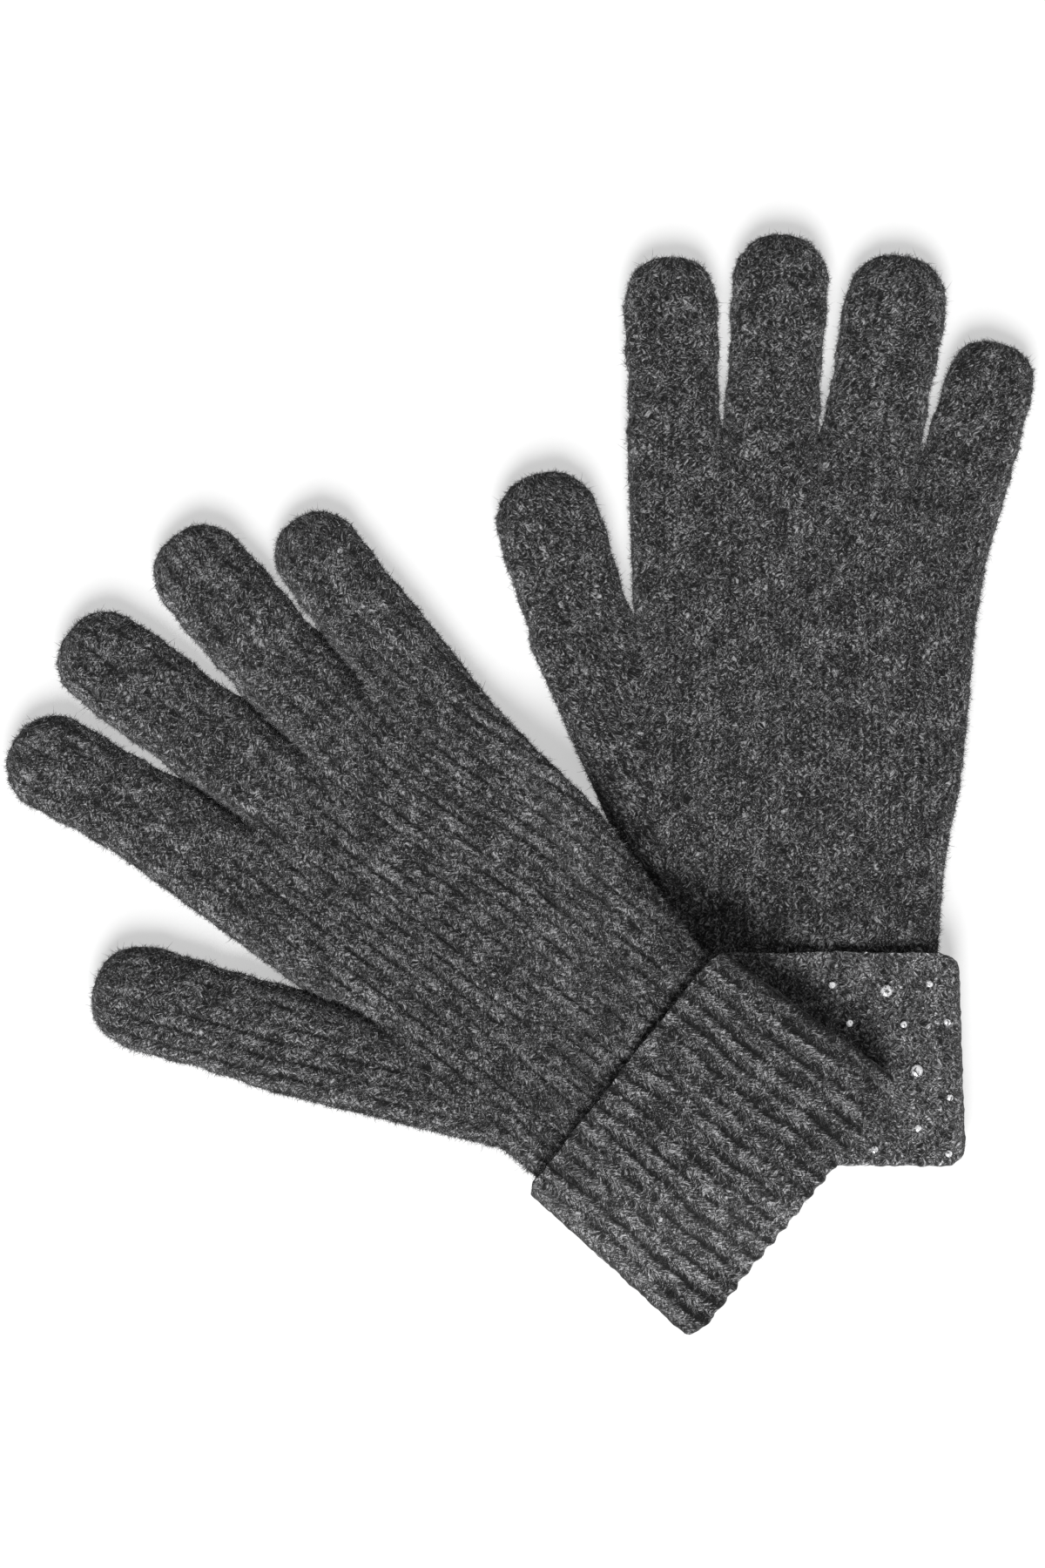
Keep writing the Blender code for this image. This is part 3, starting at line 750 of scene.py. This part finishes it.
def hair_points(skin, rng):
    """Seven points per hair: three round its root, three round its middle, and its end."""
    area, normal, centre = face_data(skin)
    up = normal[:, 2]
    below_top = np.where(up > UNDER_NORMAL, SIDE_WEIGHT, UNDER_WEIGHT)
    weight = area * np.where(up > TOP_NORMAL, TOP_WEIGHT, below_top)
    hairs = int(weight.sum() / MM ** 2 * HAIRS_PER_MM2)
    pick = rng.choice(len(area), hairs, p=weight / weight.sum())
    normal = normal[pick]
    start = centre[pick] + flattened(rng.normal(0.0, HAIR_SPREAD * MM, (hairs, 3)), normal)
    start -= normal * HAIR_ROOT * MM
    side = (np.abs(normal[:, 2]) < TOP_NORMAL)[:, None]
    lay = unit(flattened(rng.normal(0.0, 1.0, (hairs, 3)), normal))
    stand = np.where(side, rng.uniform(*STAND_SIDE, (hairs, 1)), rng.uniform(*STAND_TOP, (hairs, 1)))
    way = unit(lay + normal * stand)
    curl = rng.normal(0.0, HAIR_CURL, (hairs, 3))
    short = np.where(side & (rng.random((hairs, 1)) > LONG_SHARE), 0.5, 1.0)
    length = rng.uniform(*HAIR_LENGTHS, (hairs, 1)) * short * MM * np.where(side, SIDE_LONG, 1.0)
    middle = start + way * length * 0.5
    end = middle + (way + curl) * length * 0.5
    radius = rng.uniform(*HAIR_RADII, (hairs, 1)) * MM * np.where(side, SIDE_THICK, 1.0)
    first = unit(np.cross(way, normal + 0.3 * lay))
    second = np.cross(way, first)
    points = []
    for spot, share in ((start, 1.0), (middle, 0.8)):
        for step in range(3):
            angle = 2.0 * math.pi * step / 3
            points.append(spot + (first * math.cos(angle) + second * math.sin(angle)) * radius * share)
    points = np.stack(points + [end], axis=1)
    points[..., 2] = np.maximum(points[..., 2], HAIR_ROOM * MM)
    return points


def build_fuzz(name, skin, seed):
    """Loose wool fibres: thin three-sided hairs, denser on the sides than on top."""
    points = hair_points(skin, np.random.default_rng(seed))
    hairs = len(points)
    base = np.arange(hairs)[:, None] * HAIR_POINTS
    sides = np.concatenate([base + np.array(face) for face in HAIR_FACES])
    mesh = bpy.data.meshes.new(name)
    mesh.vertices.add(hairs * HAIR_POINTS)
    mesh.vertices.foreach_set("co", points.ravel())
    mesh.loops.add(len(sides) * 3)
    mesh.loops.foreach_set("vertex_index", sides.ravel().astype(np.int32))
    mesh.polygons.add(len(sides))
    mesh.polygons.foreach_set("loop_start", np.arange(len(sides), dtype=np.int32) * 3)
    mesh.update(calc_edges=True)
    mesh.validate()
    mesh.shade_smooth()
    obj = bpy.data.objects.new(name, mesh)
    bpy.context.scene.collection.objects.link(obj)
    return obj


# ---- stones --------------------------------------------------------------------

def stone_frame(node):
    """A CAD stone's base centre, its axis away from the cloth and its radius, in metres."""
    mesh = node.data
    back = max(mesh.polygons, key=lambda face: face.area)
    axis = Vector((0.0, 0.0, 0.0))
    spots = []
    for face in mesh.polygons:
        if face.normal.dot(back.normal) > 0.999:
            axis += face.normal * face.area
            spots += [mesh.vertices[index].co for index in face.vertices]
    centre = sum(spots, Vector()) / len(spots)
    radius = max((spot - centre).length for spot in spots)
    return centre, -axis.normalized(), radius


def build_stone(name, node):
    """A flat-backed stone with a low rim, two rows of facets and a table."""
    centre, axis, radius = stone_frame(node)
    bm = bmesh.new()
    rings = []
    for reach, height, turn in STONE_RINGS:
        ring = []
        for step in range(STONE_SIDES):
            angle = 2.0 * math.pi * (step + turn) / STONE_SIDES
            spot = Vector((math.cos(angle) * reach, math.sin(angle) * reach, height)) * radius
            ring.append(bm.verts.new(spot))
        rings.append(ring)
    for low, high in zip(rings, rings[1:]):
        for step in range(STONE_SIDES):
            after = (step + 1) % STONE_SIDES
            bm.faces.new((low[step], low[after], high[step]))
            bm.faces.new((low[after], high[after], high[step]))
    bm.faces.new(rings[-1])
    bm.faces.new(rings[0][::-1])
    bmesh.ops.recalc_face_normals(bm, faces=bm.faces)
    mesh = bpy.data.meshes.new(name)
    turn = Vector((0.0, 0.0, 1.0)).rotation_difference(axis).to_matrix().to_4x4()
    bmesh.ops.transform(bm, matrix=Matrix.Translation(centre) @ turn, verts=bm.verts)
    bm.to_mesh(mesh)
    bm.free()
    obj = bpy.data.objects.new(name, mesh)
    bpy.context.scene.collection.objects.link(obj)
    return obj


# ---- materials -----------------------------------------------------------------

class Nodes:
    """Short spelling for a material's node tree."""

    def __init__(self, name):
        self.material = bpy.data.materials.new(name)
        self.material.use_nodes = True
        self.tree = self.material.node_tree
        self.shader = self.tree.nodes["Principled BSDF"]

    def add(self, kind, inputs=(), **settings):
        node = self.tree.nodes.new(kind)
        for key, value in settings.items():
            setattr(node, key, value)
        for key, value in dict(inputs).items():
            if isinstance(value, bpy.types.NodeSocket):
                self.tree.links.new(value, node.inputs[key])
            else:
                node.inputs[key].default_value = value
        return node

    def math(self, operation, a, b=0.0):
        return self.add("ShaderNodeMath", {0: a, 1: b}, operation=operation).outputs[0]

    def mix(self, first, second, share):
        """Two values mixed, with this share of the second one."""
        rest = self.math("MULTIPLY", first, 1.0 - share)
        return self.math("ADD", rest, self.math("MULTIPLY", second, share))

    def link(self, socket, name):
        self.tree.links.new(socket, self.shader.inputs[name])

    def ramp(self, value, stops):
        node = self.add("ShaderNodeValToRGB", {0: value})
        ramp = node.color_ramp
        while len(ramp.elements) < len(stops):
            ramp.elements.new(0.5)
        for element, (place, grey) in zip(ramp.elements, stops):
            element.position = place
            element.color = (grey, grey, grey * 1.02, 1.0)
        return node.outputs[0]


def strokes(nodes, plan, angle, thick, long, seed):
    """Stretched noise: strokes of a given thickness and length in mm, turned from the wale."""
    turned = nodes.add("ShaderNodeMapping", {"Vector": plan, "Location": (seed, seed * 0.7, 0.0),
                                             "Rotation": (0.0, 0.0, math.radians(angle))})
    squeezed = nodes.add("ShaderNodeMapping", {"Vector": turned.outputs[0],
                                               "Scale": (1.0 / thick, 1.0 / long, 1.0)})
    noise = nodes.add("ShaderNodeTexNoise", {"Vector": squeezed.outputs[0], "Scale": 1.0, "Detail": 2.0,
                                             "Roughness": 0.65}, noise_dimensions="2D")
    return noise.outputs[0]


# Where the mixed noise turns from dark to pale, and the greys at steps below and above it.
MIDDLE_SHADE = 0.525
MELANGE = ((-0.085, 0.004), (-0.040, 0.017), (0.0, 0.050), (0.040, 0.13), (0.090, 0.32))

# Noise strokes of the knit: their angle, thickness and length in mm, and a seed.
STITCH_LEGS = (90.0, 0.52, 2.1, 5.0)
BRUSHED_LEFT = (28.0, 0.48, 1.9, 3.0)
BRUSHED_RIGHT = (-34.0, 0.46, 1.8, 41.0)
LOOSE = (80.0, 0.38, 1.3, 87.0)
CLOUDS = (0.0, 6.5, 7.5, 11.0)
# the next strokes break off the grooves' painted shade and bump in places
GROOVE_BREAKS = (0.0, 6.0, 16.0, 23.0)
LOOSE_SHARE = 0.32
BEND = 2.4  # of the brushed strokes, in mm
GROOVE_POWER = 4.0  # more makes the grooves between the wales narrower
BREAK_FROM, BREAK_GAIN = 0.32, 6.0  # patch noise at which a groove's painted shade and bump break off, and how fast they come back
# painted shade: how much darker the grooves between the wales are; and how deep their bump is
GROOVE_SHADE, GROOVE_DEPTH = 0.085, 0.25
CLOUD_SHADE = 0.14
BUMP_DEPTH = 0.0013  # in metres


def knit_material(name, wale, relief, tone, contrast=1.0, at_tips=1.0):
    """Charcoal melange wool: dark and pale fibres mixed, brushed, over knit stitches.

    The grooves between the wales get painted shade and a bump; noise breaks them off in places, and towards
    the tips they fade down to a share at_tips.
    """
    nodes = Nodes(name)
    uv = nodes.add("ShaderNodeUVMap", uv_map="knit").outputs[0]
    parts = nodes.add("ShaderNodeSeparateXYZ", {0: uv})
    across = nodes.math("MULTIPLY", parts.outputs[0], wale)
    along = nodes.math("MULTIPLY", parts.outputs[1], COURSE)
    plan = nodes.add("ShaderNodeCombineXYZ", {0: across, 1: along}).outputs[0]
    groove = nodes.math("PINGPONG", parts.outputs[0], 0.5)
    warp = nodes.add("ShaderNodeTexNoise", {"Vector": plan, "Scale": 0.35, "Detail": 1.0},
                     noise_dimensions="2D")
    bent = nodes.add("ShaderNodeVectorMath", {0: warp.outputs[1], 1: (BEND, BEND, 0.0), 2: plan},
                     operation="MULTIPLY_ADD").outputs[0]
    slanted = nodes.math("ADD", along, nodes.math("MULTIPLY", groove, STITCH_SLANT * wale))
    legs_plan = nodes.add("ShaderNodeCombineXYZ", {0: across, 1: slanted}).outputs[0]
    legs = strokes(nodes, legs_plan, *STITCH_LEGS)
    left = strokes(nodes, bent, *BRUSHED_LEFT)
    right = strokes(nodes, bent, *BRUSHED_RIGHT)
    loose = strokes(nodes, bent, *LOOSE)
    brushed = nodes.mix(left, right, 0.5)
    stitched = nodes.mix(legs, brushed, 1.0 - 0.5 * relief)
    mixed = nodes.mix(stitched, loose, LOOSE_SHARE)
    groove_shade_and_bump = nodes.math("POWER", nodes.math("MULTIPLY", groove, 2.0), GROOVE_POWER)
    groove_shade_and_bump = nodes.math("SUBTRACT", groove_shade_and_bump, 1.0 / (GROOVE_POWER + 1.0))
    break_mask = nodes.math("SUBTRACT", strokes(nodes, plan, *GROOVE_BREAKS), BREAK_FROM)
    clear = nodes.add("ShaderNodeMapRange", {0: along, 1: FADE_START, 2: FADE_END, 3: 1.0,
                                             4: at_tips}).outputs[0]
    groove_shade_and_bump = nodes.math("MULTIPLY", nodes.math("MULTIPLY", groove_shade_and_bump, clear),
                       nodes.math("MULTIPLY", break_mask, BREAK_GAIN))
    cloud = nodes.math("SUBTRACT", strokes(nodes, plan, *CLOUDS), 0.5)
    # painted shade: darker in the grooves between the wales, a little lighter on their crests
    shade = nodes.math("ADD", mixed, nodes.math("MULTIPLY", groove_shade_and_bump, -GROOVE_SHADE * relief))
    shade = nodes.math("ADD", shade, nodes.math("MULTIPLY", cloud, CLOUD_SHADE))
    stops = [(MIDDLE_SHADE + away / contrast, grey * tone) for away, grey in MELANGE]
    nodes.link(nodes.ramp(shade, stops), "Base Color")
    height = nodes.math("ADD", mixed, nodes.math("MULTIPLY", groove_shade_and_bump, -GROOVE_DEPTH * relief))
    bump = nodes.add("ShaderNodeBump", {"Height": height, "Strength": 1.0, "Distance": BUMP_DEPTH})
    nodes.link(bump.outputs[0], "Normal")
    nodes.shader.inputs["Roughness"].default_value = 0.95
    nodes.shader.inputs["Specular IOR Level"].default_value = 0.12
    nodes.shader.inputs["Sheen Weight"].default_value = 0.12
    nodes.shader.inputs["Sheen Roughness"].default_value = 0.5
    return nodes.material


# Greys at values of the noise; the facets' greys are also their painted glow.
HAIR_GREYS = ((0.35, 0.045), (0.52, 0.12), (0.66, 0.38))
FACET_GLINT_GREYS = ((0.40, 0.15), (0.47, 0.80), (0.62, 1.0))


def fuzz_material(name):
    """Single hairs, some pale and some dark."""
    nodes = Nodes(name)
    place = nodes.add("ShaderNodeTexCoord").outputs["Object"]
    noise = nodes.add("ShaderNodeTexNoise", {"Vector": place, "Scale": 900.0, "Detail": 1.0})
    nodes.link(nodes.ramp(noise.outputs[0], HAIR_GREYS), "Base Color")
    nodes.shader.inputs["Roughness"].default_value = 0.8
    nodes.shader.inputs["Specular IOR Level"].default_value = 0.2
    return nodes.material


def stone_material(name):
    """Clear glass on a silver foil, with painted glints: some facets lighter than others, and all of them
    glowing.
    """
    nodes = Nodes(name)
    place = nodes.add("ShaderNodeTexCoord").outputs["Object"]
    noise = nodes.add("ShaderNodeTexNoise", {"Vector": place, "Scale": 1200.0, "Detail": 1.0})
    painted_glint = nodes.ramp(noise.outputs[0], FACET_GLINT_GREYS)
    nodes.link(painted_glint, "Base Color")
    nodes.link(painted_glint, "Emission Color")
    # painted glow: the stones light themselves with their facet greys
    nodes.shader.inputs["Emission Strength"].default_value = 0.32
    nodes.shader.inputs["Metallic"].default_value = 0.9
    nodes.shader.inputs["Roughness"].default_value = 0.08
    nodes.shader.inputs["Coat Weight"].default_value = 1.0
    nodes.shader.inputs["Coat Roughness"].default_value = 0.02
    return nodes.material


# ---- assembly ------------------------------------------------------------------

def dress(obj, material):
    obj.data.materials.clear()
    obj.data.materials.append(material)


def blend_over_knuckle(obj, glove, name):
    """Bakes a finger's place into its mesh; the knuckle's start and end are worked out but not used."""
    digit = glove.digits[name]
    along = lean_vectors(digit["lean"])[1]
    start = glove.world(np.append(digit["centre"], HAND_HIGH / 2))
    end = glove.world(np.append(digit["centre"] + along * KNUCKLE_RUN, HAND_HIGH / 2))
    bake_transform(obj)


def build_glove(glove, lift, fuzz_finish, seed):
    body = glove.side + "_glove"
    look = glove.look
    knit = knit_material(glove.side + "_knit", look["wale"], look["relief"], look["tone"],
                         at_tips=RELIEF_AT_TIPS)
    rib = knit_material(glove.side + "_rib", RIB_WIDTH, look["cuff_relief"], look["cuff_tone"],
                        contrast=look["cuff_contrast"])
    hand, skin = build_hand(glove, lift)
    cuff, cuff_skin = build_cuff(glove, lift)
    for obj, surface, node, finish, slot in ((hand, skin, "_hand", knit, "brushed_wool"),
                                             (cuff, cuff_skin, "_cuff", rib, "ribbed_wool")):
        dress(obj, finish)
        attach(obj, body)
        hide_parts(glove.side + node)
        fuzz = build_fuzz(glove.side + node + "_fuzz", surface, seed)
        dress(fuzz, fuzz_finish)
        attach(fuzz, body)
        seed += 1
    for name in DIGITS:
        obj, surface = build_digit(glove, name, lift)
        dress(obj, knit)
        blend_over_knuckle(obj, glove, name)
        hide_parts(glove.side + "_" + name)
        fuzz = build_fuzz(glove.side + "_" + name + "_fuzz", surface, seed)
        dress(fuzz, fuzz_finish)
        blend_over_knuckle(fuzz, glove, name)
        seed += 1


def build_stones(frame, material):
    for name in sorted(frame["nodes"]):
        if "_stone_" in name:
            stone = build_stone(name + "_cut", frame["nodes"][name])
            dress(stone, material)
            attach(stone, name.split("_")[0] + "_glove")
            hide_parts(name)


def add_sun(name, place, energy, angle):
    """A sun that shines from a place towards the origin, wide enough for soft shadows."""
    data = bpy.data.lights.new(name, "SUN")
    data.energy = energy
    data.angle = math.radians(angle)
    light = bpy.data.objects.new(name, data)
    bpy.context.scene.collection.objects.link(light)
    light.location = place
    light.rotation_euler = (-Vector(place)).to_track_quat("-Z", "Y").to_euler()


def build_floor():
    """A white paper, lit a little by itself so that it reads as an even ground."""
    floor_mesh = bpy.data.meshes.new("floor")
    bm = bmesh.new()
    bmesh.ops.create_grid(bm, x_segments=1, y_segments=1, size=FLOOR_REACH)
    bm.to_mesh(floor_mesh)
    bm.free()
    floor = bpy.data.objects.new("floor", floor_mesh)
    floor.location.z = -FLOOR_BELOW
    bpy.context.scene.collection.objects.link(floor)
    finish = Nodes("paper")
    finish.shader.inputs["Base Color"].default_value = (PAPER_GREY, PAPER_GREY, PAPER_GREY, 1.0)
    finish.shader.inputs["Emission Color"].default_value = (1.0, 1.0, 1.0, 1.0)
    finish.shader.inputs["Emission Strength"].default_value = PAPER_GLOW
    finish.shader.inputs["Roughness"].default_value = 0.9
    finish.shader.inputs["Specular IOR Level"].default_value = 0.0
    floor_mesh.materials.append(finish.material)


def build_studio():
    build_floor()
    world = bpy.data.worlds.new("studio")
    bpy.context.scene.world = world
    world.use_nodes = True
    world.node_tree.nodes["Background"].inputs["Color"].default_value = (1.0, 1.0, 1.0, 1.0)
    world.node_tree.nodes["Background"].inputs["Strength"].default_value = SKY_STRENGTH
    add_sun("key", SUN_FROM, SUN_ENERGY, SUN_WIDE)
    bpy.context.scene.view_settings.view_transform = "Standard"


def build_camera():
    """Straight down, with the pair a little above the middle as it lies in the frame."""
    data = bpy.data.cameras.new("camera")
    data.lens = 100.0
    data.sensor_width = 36.0
    camera = bpy.data.objects.new("camera", data)
    bpy.context.scene.collection.objects.link(camera)
    camera.location = (CAMERA_X, CAMERA_Y, FRAME_LONG * data.lens / data.sensor_width + GLOVES_HIGH)
    bpy.context.scene.camera = camera


def main():
    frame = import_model()
    build_camera()
    build_studio()
    right, left = Glove(frame, "right"), Glove(frame, "left")
    fuzz_finish = fuzz_material("loose_wool")
    build_glove(right, no_lift, fuzz_finish, seed=100)
    build_glove(left, make_lift(left, right), fuzz_finish, seed=200)
    build_stones(frame, stone_material("foiled_glass"))


main()
